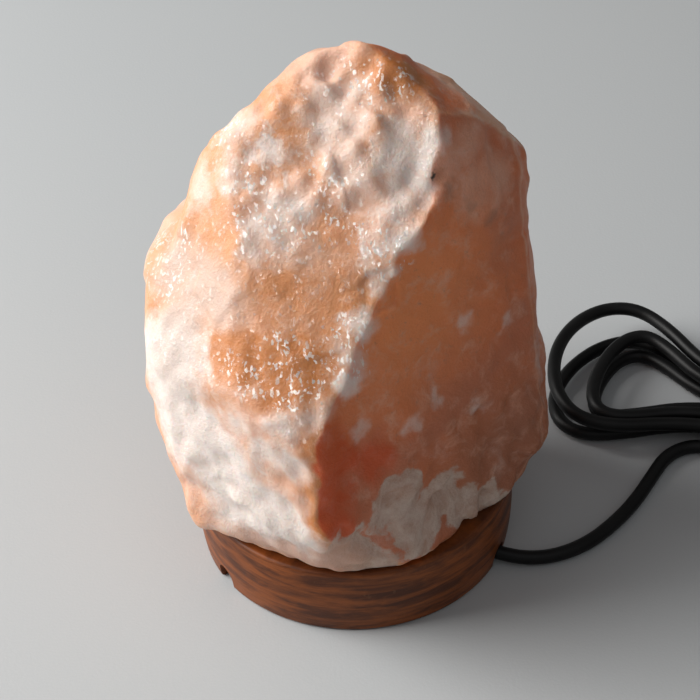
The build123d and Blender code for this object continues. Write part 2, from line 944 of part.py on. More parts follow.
with BuildPart(switch_frame) as switch_base:
    with BuildSketch(switch_frame):
        SlotOverall(switch_length, switch_width)
    extrude(amount=switch_join)
    with BuildSketch(switch_frame.offset(switch_wall)):
        SlotOverall(switch_length - 2 * switch_wall, switch_width - 2 * switch_wall)
    extrude(amount=switch_join, mode=Mode.SUBTRACT)
    chamfer(switch_base.edges().group_by(Axis.Z)[0], length=switch_wall / 3)
    with Locations((0, 0, switch_wall)):
        with GridLocations(2 * clamp_place, 2 * switch_clamp_spread, 2, 2):
            Cylinder(
                switch_clamp_post,
                switch_cord_height + cord_radius - switch_wall,
                align=(Align.CENTER, Align.CENTER, Align.MIN),
            )
            Cylinder(
                clamp_screw_radius,
                switch_cord_height + cord_radius - switch_wall,
                align=(Align.CENTER, Align.CENTER, Align.MIN),
                mode=Mode.SUBTRACT,
            )
        with Locations(
            (-switch_screw_place[0], switch_screw_place[1]),
            (switch_screw_place[0], switch_screw_place[1]),
        ):
            Cylinder(
                switch_post_radius,
                switch_join - switch_wall,
                align=(Align.CENTER, Align.CENTER, Align.MIN),
            )
    with Locations(
        (-switch_screw_place[0], switch_screw_place[1], 0),
        (switch_screw_place[0], switch_screw_place[1], 0),
    ):
        Cylinder(
            switch_screw_radius,
            switch_join,
            align=(Align.CENTER, Align.CENTER, Align.MIN),
            mode=Mode.SUBTRACT,
        )
        Cylinder(
            switch_screw_head,
            switch_screw_head_depth,
            align=(Align.CENTER, Align.CENTER, Align.MIN),
            mode=Mode.SUBTRACT,
        )
    with Locations((0, 0, switch_cord_height)):
        Cylinder(cord_radius, 2 * switch_length, rotation=(0, 90, 0), mode=Mode.SUBTRACT)
finish(switch_base, "switch_base")

window_length = rocker_length + rocker_swing
window_width = rocker_width + 2 * slip
with BuildPart(switch_frame) as switch_cover:
    with BuildSketch(switch_frame.offset(switch_join)):
        SlotOverall(switch_length, switch_width)
    extrude(amount=switch_height - switch_join)
    fillet(switch_cover.edges().group_by(Axis.Z)[-1], radius=2 * switch_wall)
    with BuildSketch(switch_frame.offset(switch_join)):
        SlotOverall(switch_length - 2 * switch_wall, switch_width - 2 * switch_wall)
    extrude(amount=switch_inner_height - switch_join, mode=Mode.SUBTRACT)
    with Locations((0, 0, switch_inner_height)):
        for side in (-1, 1):
            with Locations((0, side * (window_width / 2 + lug_thickness / 2), 0)):
                Box(
                    5 * rocker_pin_radius,
                    lug_thickness,
                    switch_inner_height - rocker_pivot_height + 2 * rocker_pin_radius,
                    align=(Align.CENTER, Align.CENTER, Align.MAX),
                )
        with Locations(
            (-switch_screw_place[0], switch_screw_place[1]),
            (switch_screw_place[0], switch_screw_place[1]),
        ):
            Cylinder(
                switch_post_radius,
                switch_inner_height - switch_join,
                align=(Align.CENTER, Align.CENTER, Align.MAX),
            )
            Cylinder(
                switch_screw_radius,
                switch_inner_height - switch_join,
                align=(Align.CENTER, Align.CENTER, Align.MAX),
                mode=Mode.SUBTRACT,
            )
    with BuildSketch(switch_frame.offset(switch_inner_height)):
        Rectangle(window_length, window_width)
    extrude(amount=2 * switch_wall, mode=Mode.SUBTRACT)
    with Locations((0, 0, rocker_pivot_height)):
        Cylinder(
            rocker_pin_radius + hinge_play,
            window_width + 2 * lug_thickness,
            rotation=(90, 0, 0),
            mode=Mode.SUBTRACT,
        )
    with Locations((0, 0, switch_cord_height)):
        Cylinder(cord_radius, 2 * switch_length, rotation=(0, 90, 0), mode=Mode.SUBTRACT)
finish(switch_cover, "switch_cover")

with BuildPart(switch_frame) as switch_screws:
    with Locations(
        (-switch_screw_place[0], switch_screw_place[1], switch_screw_sink),
        (switch_screw_place[0], switch_screw_place[1], switch_screw_sink),
    ):
        Cylinder(
            switch_screw_head,
            switch_screw_head_depth - switch_screw_sink,
            align=(Align.CENTER, Align.CENTER, Align.MIN),
        )
        Cylinder(
            switch_screw_radius,
            switch_inner_height - 2 * switch_wall,
            align=(Align.CENTER, Align.CENTER, Align.MIN),
        )
finish(switch_screws, "switch_screws")

switch_bar_bottom = switch_cord_height + cord_radius
with BuildPart(switch_frame) as switch_clamps:
    with Locations((-clamp_place, 0, switch_bar_bottom), (clamp_place, 0, switch_bar_bottom)):
        Box(
            2 * switch_clamp_post,
            2 * (switch_clamp_spread + switch_clamp_post),
            switch_clamp_bar,
            align=(Align.CENTER, Align.CENTER, Align.MIN),
        )
    with Locations((0, 0, switch_bar_bottom)):
        with GridLocations(2 * clamp_place, 2 * switch_clamp_spread, 2, 2):
            Cylinder(
                clamp_screw_radius,
                switch_clamp_bar,
                align=(Align.CENTER, Align.CENTER, Align.MIN),
                mode=Mode.SUBTRACT,
            )
finish(switch_clamps, "switch_clamps")

with BuildPart(switch_frame) as switch_clamp_screws:
    with Locations((0, 0, switch_bar_bottom + switch_clamp_bar)):
        with GridLocations(2 * clamp_place, 2 * switch_clamp_spread, 2, 2):
            Cylinder(
                switch_clamp_post,
                clamp_screw_radius,
                align=(Align.CENTER, Align.CENTER, Align.MIN),
            )
            Cylinder(
                clamp_screw_radius,
                switch_clamp_bar + switch_bar_bottom - switch_wall,
                align=(Align.CENTER, Align.CENTER, Align.MAX),
            )
finish(switch_clamp_screws, "switch_clamp_screws")


def tilted_frame(height, tilt):
    """The switch's frame raised to a pivot, with its far end tilted down by an angle."""
    return Plane(
        origin=switch_point(0, 0, height),
        x_dir=(0, -cos(radians(tilt)), -sin(radians(tilt))),
        z_dir=(0, -sin(radians(tilt)), cos(radians(tilt))),
    )


rocker_frame = tilted_frame(rocker_pivot_height, rocker_tilt)
rocker_side = Plane(
    origin=rocker_frame.origin, x_dir=rocker_frame.x_dir, z_dir=-rocker_frame.y_dir
)
with BuildPart(rocker_frame) as rocker:
    with BuildSketch(rocker_side):
        with BuildLine():
            rocker_ends = rocker_length / 2
            top_left = (-rocker_ends, rocker_top)
            top_right = (rocker_ends, rocker_top)
            ThreePointArc(top_left, (0, rocker_dip), top_right)
            Polyline(
                top_right,
                (rocker_ends, rocker_shoulder),
                (rocker_belly_reach, rocker_belly),
                (-rocker_belly_reach, rocker_belly),
                (-rocker_ends, rocker_shoulder),
                top_left,
            )
        make_face()
    extrude(amount=rocker_width / 2, both=True)
    Cylinder(
        rocker_pin_radius,
        window_width + 2 * lug_thickness - slip,
        rotation=(90, 0, 0),
    )
finish(rocker, "rocker")

with BuildPart(rocker_frame) as rocker_plunger:
    with Locations((0, 0, rocker_belly)):
        Cylinder(
            plunger_radius,
            plunger_reach + rocker_belly,
            align=(Align.CENTER, Align.CENTER, Align.MAX),
        )
    fillet(rocker_plunger.edges().sort_by(Axis.Z)[0], radius=plunger_radius / 2)
finish(rocker_plunger, "rocker_plunger")

contact_frame = tilted_frame(contact_pivot_height, -contact_tilt)
with BuildPart(contact_frame) as moving_contact:
    Box(contact_length, contact_width, contact_thickness)
    with Locations((contact_length / 2 - contact_tip_inset, 0, -contact_thickness / 2)):
        Cylinder(
            contact_tip_radius,
            contact_tip_height,
            align=(Align.CENTER, Align.CENTER, Align.MAX),
        )
finish(moving_contact, "moving_contact")

contact_post = 2.4
contact_post_width = 6.0
neutral_way_round = 6.5
fixed_contact_place = contact_length / 2 - contact_tip_inset
post_top = contact_pivot_height - contact_thickness / 2 - slip
fixed_contact_top = (
    contact_pivot_height
    - fixed_contact_place * sin(radians(contact_tilt))
    - contact_thickness / 2
    - contact_tip_height
    - slip
)
with BuildPart(switch_frame) as switch_contacts:
    with Locations((0, 0, switch_wall)):
        Box(
            contact_post,
            contact_post_width,
            post_top - switch_wall,
            align=(Align.CENTER, Align.CENTER, Align.MIN),
        )
    with Locations((fixed_contact_place, 0, switch_wall)):
        Box(
            contact_post,
            contact_post_width,
            fixed_contact_top - switch_wall,
            align=(Align.CENTER, Align.CENTER, Align.MIN),
        )
finish(switch_contacts, "switch_contacts")

live_height = 4.0
live_out_height = live_height - 2 * slip
spread_from = cord_in_switch_from - wire_straight
spread_to = spread_from - wire_drop
live_in = [
    switch_point(-cord_in_switch_from, wire_spread, switch_cord_height),
    switch_point(-spread_from, wire_spread, switch_cord_height),
    switch_point(-spread_to, wire_spread, live_height),
    switch_point(-contact_post / 2, wire_spread, live_height),
]
live_out = [
    switch_point(fixed_contact_place + contact_post / 2, wire_spread, live_out_height),
    switch_point(spread_to, wire_spread, live_out_height),
    switch_point(spread_from, wire_spread, switch_cord_height),
    switch_point(cord_in_switch_from, wire_spread, switch_cord_height),
]
neutral_through = [
    switch_point(-cord_in_switch_from, -wire_spread, switch_cord_height),
    switch_point(-spread_from, -wire_spread, switch_cord_height),
    switch_point(-spread_to, -neutral_way_round, live_height),
    switch_point(spread_to, -neutral_way_round, live_height),
    switch_point(spread_from, -wire_spread, switch_cord_height),
    switch_point(cord_in_switch_from, -wire_spread, switch_cord_height),
]
wire_tube("switch_live_wires", [live_in, live_out], wire_radius, wire_bend)
wire_tube("switch_neutral_wire", [neutral_through], wire_radius, wire_bend)

with BuildPart() as cord_in_switch:
    for side in (-1, 1):
        inner_end = switch_point(side * cord_in_switch_from, 0, switch_cord_height)
        with BuildSketch(Plane(origin=inner_end, z_dir=switch_way * side)):
            Circle(cord_radius)
        extrude(amount=switch_length / 2 - cord_in_switch_from)
finish(cord_in_switch, "cord_in_switch")

tail_route = [
    hank_outlet,
    hank_outlet + hank_outlet_way * cord_straight,
    Vector(175.0, -24.0, 8.4),
    switch_point(-switch_length / 2 - cord_straight, 0, switch_cord_height),
    switch_point(-switch_length / 2, 0, switch_cord_height),
]
tail_length = tube("cord_tail", tail_route, cord_radius)

# ----------------------------------------------------------------------- mains plug

plug_frame = Plane(origin=(*plug_place, 0), x_dir=(0, 1, 0), z_dir=(0, 0, 1))


def plug_point(along, across, height):
    """A point in the plug's own frame, from the back of its body towards the pins."""
    return plug_frame.from_local_coords(Vector(along, across, height))


def plug_section(along, across=0.0):
    """Plane square to the pins."""
    return Plane(origin=plug_point(along, across, plug_axis_height), z_dir=(0, 1, 0))


with BuildPart() as plug_body:
    with BuildSketch(plug_frame):
        with BuildLine():
            Polyline(
                (0, -plug_tail_width / 2),
                (plug_length * plug_shoulder, -plug_width / 2),
                (plug_length, -plug_width / 2),
                (plug_length, plug_width / 2),
                (plug_length * plug_shoulder, plug_width / 2),
                (0, plug_tail_width / 2),
                close=True,
            )
        make_face()
    extrude(amount=plug_thickness)
    fillet(plug_body.edges().filter_by(Axis.Z), radius=plug_corner)
    fillet(plug_body.edges().group_by(Axis.Z)[-1], radius=plug_edge)
    fillet(plug_body.edges().group_by(Axis.Z)[0], radius=plug_edge)
    for side in (-1, 1):
        with BuildSketch(plug_section(plug_length - pin_root, side * pin_spacing / 2)):
            Circle(pin_core_radius)
        extrude(amount=2 * pin_root, mode=Mode.SUBTRACT)
finish(plug_body, "plug_body")

with BuildPart() as plug_pins:
    for side in (-1, 1):
        with BuildSketch(plug_section(plug_length - pin_root, side * pin_spacing / 2)):
            Circle(pin_core_radius)
        extrude(amount=pin_root + pin_sleeve_length)
        with BuildSketch(plug_section(plug_length + pin_sleeve_length, side * pin_spacing / 2)):
            Circle(pin_radius)
        extrude(amount=pin_length - pin_sleeve_length)
    fillet(plug_pins.edges().group_by(Axis.Y)[-1], radius=pin_tip_round)
finish(plug_pins, "plug_pins")

with BuildPart() as pin_sleeves:
    for side in (-1, 1):
        with BuildSketch(plug_section(plug_length, side * pin_spacing / 2)):
            Circle(pin_radius)
            Circle(pin_core_radius, mode=Mode.SUBTRACT)
        extrude(amount=pin_sleeve_length)
finish(pin_sleeves, "pin_sleeves")

with BuildPart() as plug_relief:
    with BuildSketch(plug_section(-plug_relief_length)):
        Circle(relief_tip_radius)
    with BuildSketch(plug_section(0)):
        Circle(plug_relief_root)
    loft()
    rib_step = plug_relief_length / (rib_count + 1)
    for rib in range(1, rib_count + 1):
        with BuildSketch(plug_section(-rib * rib_step)):
            Circle(2 * plug_relief_root)
            Circle(relief_tip_radius - rib_depth, mode=Mode.SUBTRACT)
        extrude(amount=rib_step / 3, mode=Mode.SUBTRACT)
finish(plug_relief, "plug_relief")

plug_route = [
    switch_point(switch_length / 2, 0, switch_cord_height),
    switch_point(switch_length / 2 + exit_straight, 0, switch_cord_height),
    Vector(174.9, -123.0, 4.3),
    Vector(180.8, -132.7, 3.0),
    Vector(191.4, -139.4, 2.7),
    Vector(204.7, -141.8, 2.75),
    Vector(218.0, -139.4, 3.3),
    Vector(228.6, -132.8, 4.8),
    plug_point(-plug_relief_length - plug_straight, 0, plug_axis_height),
    plug_point(-plug_relief_length, 0, plug_axis_height),
]
plug_run_length = tube("cord_plug_run", plug_route, cord_radius)

inside_length = relief_tip - cord_inner_end + switch_length
whole_lead = inside_length + lead_length + hank_wire.length + tail_length + plug_run_length
print(f"whole lead {whole_lead:.0f} mm")
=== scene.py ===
"""Looks of the salt crystal lamp: the hewn rock, the turned base, the lead and their finishes.

Metres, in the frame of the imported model: the origin is the middle of the base on the
table, +Z is up and the camera looks along +Y.
"""

import bpy
import numpy as np
from mathutils import Matrix, Vector


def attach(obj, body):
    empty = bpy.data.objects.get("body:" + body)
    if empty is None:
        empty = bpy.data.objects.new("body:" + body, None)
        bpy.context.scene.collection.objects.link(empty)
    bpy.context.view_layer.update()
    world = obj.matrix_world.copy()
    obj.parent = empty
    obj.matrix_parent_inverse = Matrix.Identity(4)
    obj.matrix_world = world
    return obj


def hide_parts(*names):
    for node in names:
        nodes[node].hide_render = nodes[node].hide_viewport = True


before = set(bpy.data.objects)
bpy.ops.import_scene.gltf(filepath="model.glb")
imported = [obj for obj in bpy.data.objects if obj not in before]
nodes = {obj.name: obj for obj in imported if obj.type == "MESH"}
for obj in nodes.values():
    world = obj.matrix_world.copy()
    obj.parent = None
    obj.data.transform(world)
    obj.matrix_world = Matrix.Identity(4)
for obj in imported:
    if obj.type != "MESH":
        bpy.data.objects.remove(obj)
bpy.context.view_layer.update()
mm = 0.001


# ------------------------------------------------------------------ camera and light

photo_width = 700
sensor_width = 36.0
focal_pixels = 1988
camera_distance = 0.76
camera_rise = np.radians(45)
camera_pitch = np.radians(40.2)
camera_roll = np.radians(-2.1)


def photo_camera():
    """Camera at the photo's angle: level first, then pitched down and rolled about its view."""
    lens = focal_pixels * sensor_width / photo_width
    data = bpy.data.cameras.new("photo_camera")
    data.sensor_width = sensor_width
    data.lens = lens
    camera = bpy.data.objects.new("photo_camera", data)
    place = (0, -camera_distance * np.cos(camera_rise), camera_distance * np.sin(camera_rise))
    pitch = Matrix.Rotation(np.pi / 2 - camera_pitch, 4, "X")
    roll = Matrix.Rotation(camera_roll, 4, "Z")
    camera.matrix_world = Matrix.Translation(place) @ pitch @ roll
    bpy.context.collection.objects.link(camera)
    bpy.context.scene.camera = camera


def soft_lamp(name, place, aim, size, power, colour):
    """Square area lamp at a place, turned to face a point."""
    data = bpy.data.lights.new(name, "AREA")
    data.size = size
    data.energy = power
    data.color = colour
    lamp = bpy.data.objects.new(name, data)
    line = Vector(aim) - Vector(place)
    lamp.rotation_euler = line.to_track_quat("-Z", "Y").to_euler()
    lamp.location = place
    bpy.context.collection.objects.link(lamp)


def plain_world(colour, strength):
    """Even light from all sides."""
    world = bpy.data.worlds.new("plain_world")
    world.use_nodes = True
    background = world.node_tree.nodes["Background"]
    background.inputs["Color"].default_value = (*colour, 1)
    background.inputs["Strength"].default_value = strength
    bpy.context.scene.world = world


# --------------------------------------------------------------------- shader writing


class Value:
    """A socket of a finish's nodes, on which plain arithmetic adds Math nodes."""

    def __init__(self, finish, socket):
        self.finish = finish
        self.socket = socket

    def math(self, operation, other, clamp=False):
        """A Math node on this value and another."""
        settings = {"operation": operation, "use_clamp": clamp}
        return self.finish.node("Math", settings, {0: self, 1: other})

    def __add__(self, other):
        return self.math("ADD", other)

    def __radd__(self, other):
        return self.math("ADD", other)

    def __sub__(self, other):
        return self.math("SUBTRACT", other)

    def __rsub__(self, other):
        return self.finish.node("Math", {"operation": "SUBTRACT"}, {0: other, 1: self})

    def __mul__(self, other):
        return self.math("MULTIPLY", other)

    def __rmul__(self, other):
        return self.math("MULTIPLY", other)

    def larger(self, other):
        """The larger of this value and another."""
        return self.math("MAXIMUM", other)

    def held(self):
        """The value kept between 0 and 1."""
        return self.math("ADD", 0.0, clamp=True)

    def step(self, low, high):
        """A smooth rise from 0 at low to 1 at high."""
        settings = {"interpolation_type": "SMOOTHSTEP"}
        inputs = {"Value": self, "From Min": low, "From Max": high}
        return self.finish.node("MapRange", settings, inputs, "Result")


class Finish:
    """A material that is being written: its nodes and its one shader."""

    def __init__(self, name, **sockets):
        self.material = bpy.data.materials.new(name)
        self.material.use_nodes = True
        self.tree = self.material.node_tree
        self.shader = self.tree.nodes["Principled BSDF"]
        for socket, value in sockets.items():
            self.shader.inputs[socket.replace("_", " ")].default_value = value

    def node(self, kind, settings=None, inputs=None, out=0):
        """Add a node of a type, set its settings, then feed its sockets; give one output."""
        node = self.tree.nodes.new("ShaderNode" + kind)
        for name, value in (settings or {}).items():
            setattr(node, name, value)
        for name, value in (inputs or {}).items():
            if isinstance(value, Value):
                self.tree.links.new(value.socket, node.inputs[name])
            else:
                node.inputs[name].default_value = value
        return Value(self, node.outputs[out])

    def place(self):
        """Object coordinates, in metres."""
        return self.node("TexCoord", out="Object")

    def stretched(self, where, scale, rotation=(0.0, 0.0, 0.0)):
        """Coordinates turned and scaled by axis, so that a pattern runs long where a scale is small."""
        inputs = {"Vector": where, "Rotation": rotation, "Scale": scale}
        return self.node("Mapping", None, inputs)

    def noise(self, where, size, detail=3.0, roughness=0.5, distortion=0.0, out=0):
        """Cloudy noise whose lumps are about a size across, in metres."""
        inputs = {
            "Vector": where,
            "Scale": 1 / size,
            "Detail": detail,
            "Roughness": roughness,
            "Distortion": distortion,
        }
        return self.node("TexNoise", {"noise_dimensions": "3D"}, inputs, out)

    def cells(self, where, size):
        """A random colour for each cell of a pattern whose cells are about a size across."""
        return self.node("TexVoronoi", {"feature": "F1"}, {"Vector": where, "Scale": 1 / size}, "Color")

    def vector(self, operation, first, second):
        """Vector Math on two vectors, or on a vector and a number for SCALE."""
        place = "Scale" if operation == "SCALE" else 1
        out = "Value" if operation == "DISTANCE" else "Vector"
        return self.node("VectorMath", {"operation": operation}, {0: first, place: second}, out)

    def centred(self, random_colour):
        """A random colour as a vector whose parts run from -0.5 to 0.5."""
        return self.vector("SUBTRACT", random_colour, (0.5, 0.5, 0.5))

    def moved(self, where, push, amount):
        """Coordinates pushed about by a random colour, by up to an amount in metres."""
        return self.vector("ADD", where, self.vector("SCALE", self.centred(push), 2 * amount))

    def blot(self, where, centre, radius, soft):
        """A soft ball: 1 inside a radius of a point, 0 beyond the radius and a soft edge, in mm."""
        distance = self.vector("DISTANCE", where, tuple(part * mm for part in centre))
        return 1 - distance.step(radius * mm, (radius + soft) * mm)

    def mix(self, share, first, second):
        """The second colour over the first by a share."""
        inputs = {0: share, 6: first, 7: second}
        return self.node("Mix", {"data_type": "RGBA"}, inputs, 2)

    def layered(self, colour, *layers):
        """A colour under layers, each a share and its colour, the last on top."""
        for share, layer in layers:
            colour = self.mix(share, colour, layer)
        return colour

    def bump(self, height, distance, strength=1.0):
        """Relief of a height from 0 to 1, so many metres deep."""
        inputs = {"Height": height, "Distance": distance, "Strength": strength}
        return self.node("Bump", None, inputs)

    def feed(self, **values):
        """Feed the shader's sockets: Base_Color, Roughness, Normal and the like."""
        for name, value in values.items():
            self.tree.links.new(value.socket, self.shader.inputs[name.replace("_", " ")])
        return self.material


def rgb(red, green, blue):
    """An opaque colour, in linear light."""
    return (red, green, blue, 1.0)


# --------------------------------------------------------------------- the rock itself

rock_heart = np.array([0, 0, 110]) * mm
rock_foot = 29 * mm
chamber_radius = 24 * mm
chamber_top = 112 * mm

# Facets as azimuth, elevation of the outward normal, and distance from the heart in mm.
wet_facets = [(-101, 35, 46), (-135, 46, 65), (-142, 26, 55)]
brown_facets = [(-54, 8, 42), (-41, 19, 53.5), (-48, -30, 87)]
rust_facets = [(-6, 6, 63), (28, 3, 64), (0, 54, 82), (-15, -26, 90), (60, 4, 62), (45, -26, 85)]
other_facets = [
    (0, -90, 81), (15, 46, 79.5), (176, 56, 77), (-170, 40, 73), (95, 60, 85),
    (-128, 0, 62), (-118, -26, 84), (-85, -22, 83),
    (-155, 6, 67), (178, 2, 69), (-165, -12, 78), (180, -28, 89), (-150, -26, 93),
    (90, 6, 63), (122, 8, 59), (150, 6, 66), (85, 34, 61), (40, 32, 74),
    (135, 30, 61), (90, -24, 84), (140, -24, 84),
]
# The two that meet in the hollow over the ledge on the left.
hollow_facets = [(172, 20, 62), (-178, 54, 51.5)]
edge_sharpness = 60
# What a facet that faces away counts for, in place of nothing or less.
least_pull = 1e-6

# Edges wander and faces are uneven: amount, size, number of waves and seed of each sheet.
edge_drifts = [(0.022, 30 * mm, 20, 3), (0.011, 10 * mm, 40, 6)]
swell = (0.5 * mm, 40 * mm, 24, 9)
# Broken faces: share, size, tilt and seed of each layer.
chip_layers = [(0.3, 18 * mm, 0.09, 11), (0.14, 5 * mm, 0.08, 13)]
chip_blend = 0.05
# A wave is so many times finer than its sheet's size, at random.
wave_spread = (0.7, 1.4)
# The skin stands a little proud of the facets, down to where it blends into the flat foot.
skin_proud = 0.4 * mm
foot_blend = 4 * mm
skin_columns = 360
outer_rows = 250
wall_rows = 12


def facet_pulls(ways, facets):
    """How far each facet pulls the skin in along unit vectors: (way . normal) / distance."""
    azimuth, elevation, distance = np.array(facets, float).T
    azimuth, elevation = np.radians(azimuth), np.radians(elevation)
    across = np.cos(elevation) * np.cos(azimuth)
    away = np.cos(elevation) * np.sin(azimuth)
    normals = np.stack([across, away, np.sin(elevation)], axis=1)
    return np.clip(ways @ normals.T / (distance * mm), least_pull, None)


def hewn_radius(ways):
    """Distance from the rock's heart to its skin along unit vectors, and each group's share.

    The skin lies at one over the power mean of the facets' pulls, which is the nearest
    facet with its edges rounded.  A share is a group's part of that mean, so it is 1 on the
    group's own facets and falls to 0 across their edges.
    """
    facet_groups = (wet_facets, brown_facets, rust_facets, other_facets)
    groups = [facet_pulls(ways, facets) for facets in facet_groups]
    groups.append(facet_pulls(ways, hollow_facets).min(axis=1, keepdims=True))
    most = np.max([group.max(axis=1) for group in groups], axis=0)[:, None]
    powers = np.array([((group / most) ** edge_sharpness).sum(axis=1) for group in groups])
    total = powers.sum(axis=0)
    return 1 / (most[:, 0] * total ** (1 / edge_sharpness)), powers / total


def waves(points, size, count, seed):
    """Smooth random relief between about -1 and 1: a sum of plane waves, a size long."""
    random = np.random.default_rng(seed)
    ways = random.normal(size=(count, 3))
    length = np.linalg.norm(ways, axis=1)
    ways *= (2 * np.pi / size / length * random.uniform(*wave_spread, count))[:, None]
    phases = random.uniform(0, 2 * np.pi, count)
    return np.cos(points @ ways.T + phases).sum(axis=1) / np.sqrt(count)


def wander(points, size, count, seed):
    """Three independent sheets of waves, as the components of a vector."""
    return np.stack([waves(points, size, count, seed + part) for part in range(3)], axis=1)


def chips(points, size, tilt, seed):
    """Broken faces: each point takes the tilted plane of its nearest cell, blended at borders.

    The cells' middles are one to a cube of the given size, moved at random within it, and a
    point looks at the cubes round its own.  The weight of a cell falls off as the exponential
    of how much further off its middle is than the nearest one's.
    """
    random = np.random.default_rng(seed)
    low = points.min(axis=0) - 2 * size
    cubes = np.ceil((points.max(axis=0) + 2 * size - low) / size).astype(int)
    middles = np.indices(cubes).transpose(1, 2, 3, 0) + random.uniform(0, 1, (*cubes, 3))
    slopes = random.normal(size=(*cubes, 3)) * tilt
    home = np.floor((points - low) / size).astype(int)
    around = np.indices((3, 3, 3)).reshape(3, -1).T - 1
    near = home[:, None, :] + around
    near = tuple(np.moveaxis(near, -1, 0))
    offset = (points - low)[:, None, :] / size - middles[near]
    reach = (offset**2).sum(axis=2)
    share = np.exp(-(reach - reach.min(axis=1, keepdims=True)) / chip_blend)
    plane = (offset * slopes[near]).sum(axis=2) * size
    return (share * plane).sum(axis=1) / share.sum(axis=1)


def grid_mesh(name, points):
    """A mesh over a grid of points, rows by columns, whose first and last rows are poles."""
    rows, columns = points.shape[:2]
    body = points[1:-1].reshape(-1, 3)
    vertices = np.vstack([points[0, :1], body, points[-1, :1]])
    ring = np.arange(columns)
    after = (ring + 1) % columns
    start = 1 + np.arange(rows - 3)[:, None] * columns
    quads = np.stack(
        [start + ring, start + columns + ring, start + columns + after, start + after], axis=2
    ).reshape(-1, 4)
    top = np.stack([np.zeros(columns, int), 1 + ring, 1 + after], axis=1)
    last = 1 + (rows - 3) * columns
    bottom = np.stack([np.full(columns, len(vertices) - 1), last + after, last + ring], axis=1)
    mesh = bpy.data.meshes.new(name)
    mesh.from_pydata(vertices.tolist(), [], quads.tolist() + top.tolist() + bottom.tolist())
    mesh.polygons.foreach_set("use_smooth", np.ones(len(mesh.polygons), bool))
    mesh.update()
    piece = bpy.data.objects.new(name, mesh)
    bpy.context.collection.objects.link(piece)
    return piece


def rock_skin():
    """The hewn rock with the chamber drilled up into it.

    The first parameter runs from the top down the outside, in over the flat foot, up the
    chamber's wall and over its roof.  The second runs round.
    """
    round_angle = np.linspace(0, 2 * np.pi, skin_columns, endpoint=False)
    mouth_angle = np.pi - np.arctan2(chamber_radius, rock_heart[2] - rock_foot)
    down_angle = np.linspace(0, mouth_angle, outer_rows)
    down, about = np.meshgrid(down_angle, round_angle, indexing="ij")
    across = np.sin(down) * np.cos(about)
    away = np.sin(down) * np.sin(about)
    ways = np.stack([across, away, np.cos(down)], axis=2).reshape(-1, 3)
    skin = ways * hewn_radius(ways)[0][:, None]
    bent = ways.copy()
    for amount, *sheet in edge_drifts:
        bent += amount * wander(skin, *sheet)
    bent /= np.linalg.norm(bent, axis=1)[:, None]
    radius, (wet, brown, rust, *_) = hewn_radius(bent)
    skin = ways * radius[:, None]
    relief = swell[0] * waves(skin, *swell[1:])
    relief += sum(share * chips(skin, *layer) for share, *layer in chip_layers)
    foot = np.clip((skin[:, 2] + rock_heart[2] - rock_foot) / foot_blend, 0, 1)
    skin = skin + ways * ((relief + skin_proud) * foot)[:, None]
    outer = (skin + rock_heart).reshape(outer_rows, skin_columns, 3)
    outer[..., 2] = np.maximum(outer[..., 2], rock_foot)
    height = np.linspace(rock_foot, chamber_top, wall_rows)
    rise, turn = np.meshgrid(height, round_angle, indexing="ij")
    wall = np.stack([chamber_radius * np.cos(turn), chamber_radius * np.sin(turn), rise], axis=2)
    roof = np.zeros((1, skin_columns, 3)) + [0, 0, chamber_top]
    piece = grid_mesh("rock", np.concatenate([outer, wall, roof]))
    inner = np.zeros((wall_rows + 1) * skin_columns)
    for name, share in (("wet", wet), ("brown", brown), ("rust", rust)):
        every = np.concatenate([share, inner])
        body = every[skin_columns:-skin_columns]
        written = piece.data.attributes.new(name, "FLOAT", "POINT")
        written.data.foreach_set("value", np.concatenate([every[:1], body, [0.0]]))
    return piece


